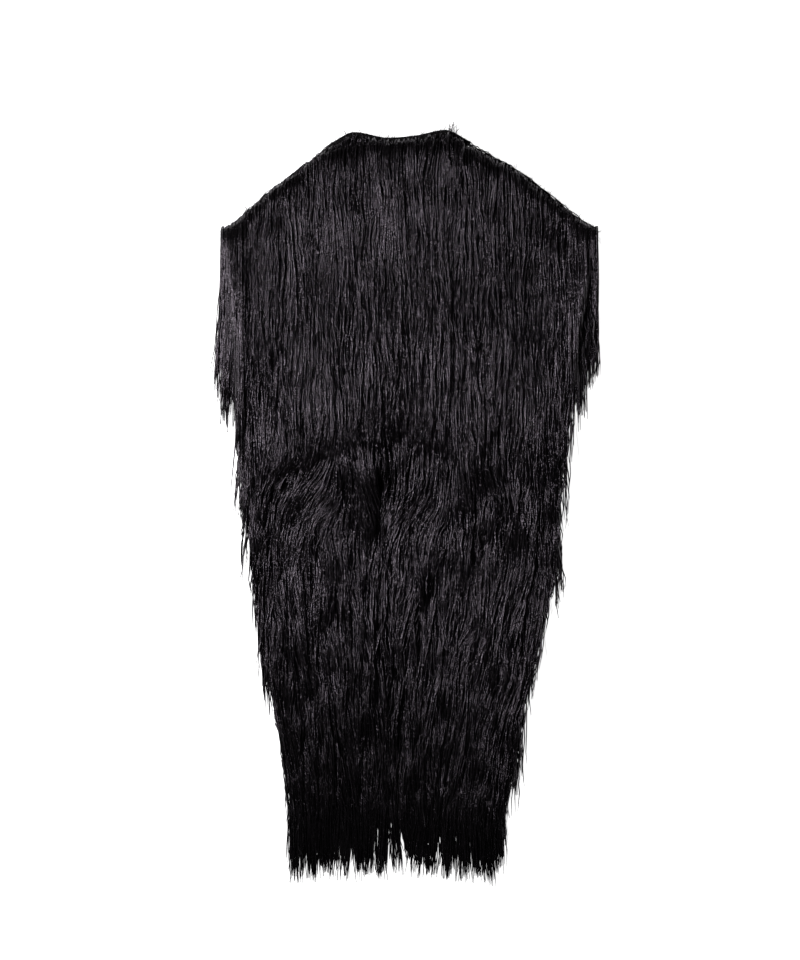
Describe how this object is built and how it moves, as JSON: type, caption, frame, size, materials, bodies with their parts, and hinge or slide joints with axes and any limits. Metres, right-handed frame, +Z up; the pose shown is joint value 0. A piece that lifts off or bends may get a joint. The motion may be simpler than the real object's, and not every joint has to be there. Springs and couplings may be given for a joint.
{
  "type": "fringed knit vest, laid flat",
  "caption": "Long sleeveless open-front knit vest with a plain neck band, covered in rows of hanging black yarn fringe from neck to hem, laid out flat on its back.",
  "frame": {"origin": "on the underside of the back, on the centre line where the two fronts meet, half way along the vest", "axes": "+Z up from the surface that the vest lies on, +Y towards the neck, +X towards the wearer's left"},
  "size_m": [0.5168, 1.0141, 0.0269],
  "materials": {
    "knit": "matt black knit",
    "rib": "matt black rib knit",
    "fringe": "black yarn with a soft gloss"
  },
  "bodies": {
    "root": {"back": "knit", "front_left": "knit", "front_right": "knit", "neck_band": "rib", "fringe_01_left": "fringe", "fringe_01_right": "fringe", "fringe_02_left": "fringe", "fringe_02_right": "fringe", "fringe_03_left": "fringe", "fringe_03_right": "fringe", "fringe_04_left": "fringe", "fringe_04_right": "fringe", "fringe_05_left": "fringe", "fringe_05_right": "fringe", "fringe_06_left": "fringe", "fringe_06_right": "fringe", "fringe_07_left": "fringe", "fringe_07_right": "fringe", "fringe_08_left": "fringe", "fringe_08_right": "fringe", "fringe_09_left": "fringe", "fringe_09_right": "fringe", "fringe_10_left": "fringe", "fringe_10_right": "fringe", "fringe_11_left": "fringe", "fringe_11_right": "fringe", "fringe_12_left": "fringe", "fringe_12_right": "fringe", "fringe_13_left": "fringe", "fringe_13_right": "fringe", "fringe_14_left": "fringe", "fringe_14_right": "fringe", "fringe_15_left": "fringe", "fringe_15_right": "fringe", "fringe_16_left": "fringe", "fringe_16_right": "fringe"}
  },
  "joints": []
}
